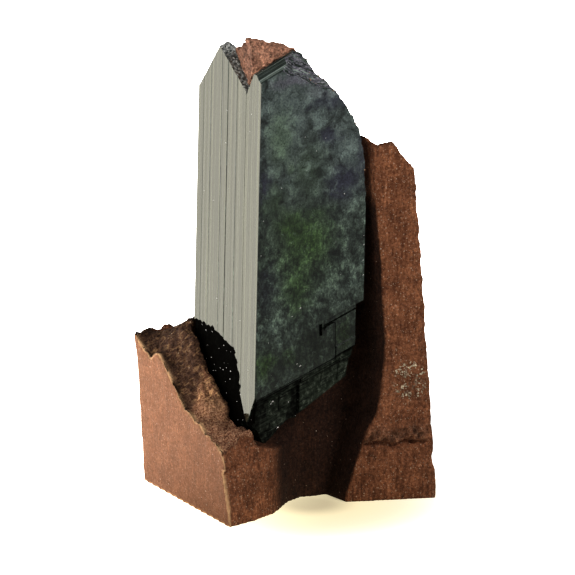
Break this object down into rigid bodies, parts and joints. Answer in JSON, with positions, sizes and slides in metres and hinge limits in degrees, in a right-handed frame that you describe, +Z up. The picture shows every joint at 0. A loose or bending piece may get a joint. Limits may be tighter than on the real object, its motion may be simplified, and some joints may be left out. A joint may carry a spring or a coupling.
{
  "type": "vivianite crystal specimen",
  "caption": "Dark green bladed vivianite crystals with striated sides and sloping tips, grown upright in a broken block of reddish-brown siltstone.",
  "frame": {"origin": "on the ground, under the middle of the specimen's bounding box", "axes": "+Z up along the crystals; the crystals' broad face looks along -Y and their striated sides along -X"},
  "size_m": [0.0372, 0.036, 0.0734],
  "materials": {
    "siltstone": "matte",
    "vivianite": "polished"
  },
  "bodies": {
    "root": {"matrix": "siltstone", "stone_plug": "siltstone", "front_crystal": "vivianite", "rear_crystal": "vivianite"}
  },
  "joints": []
}
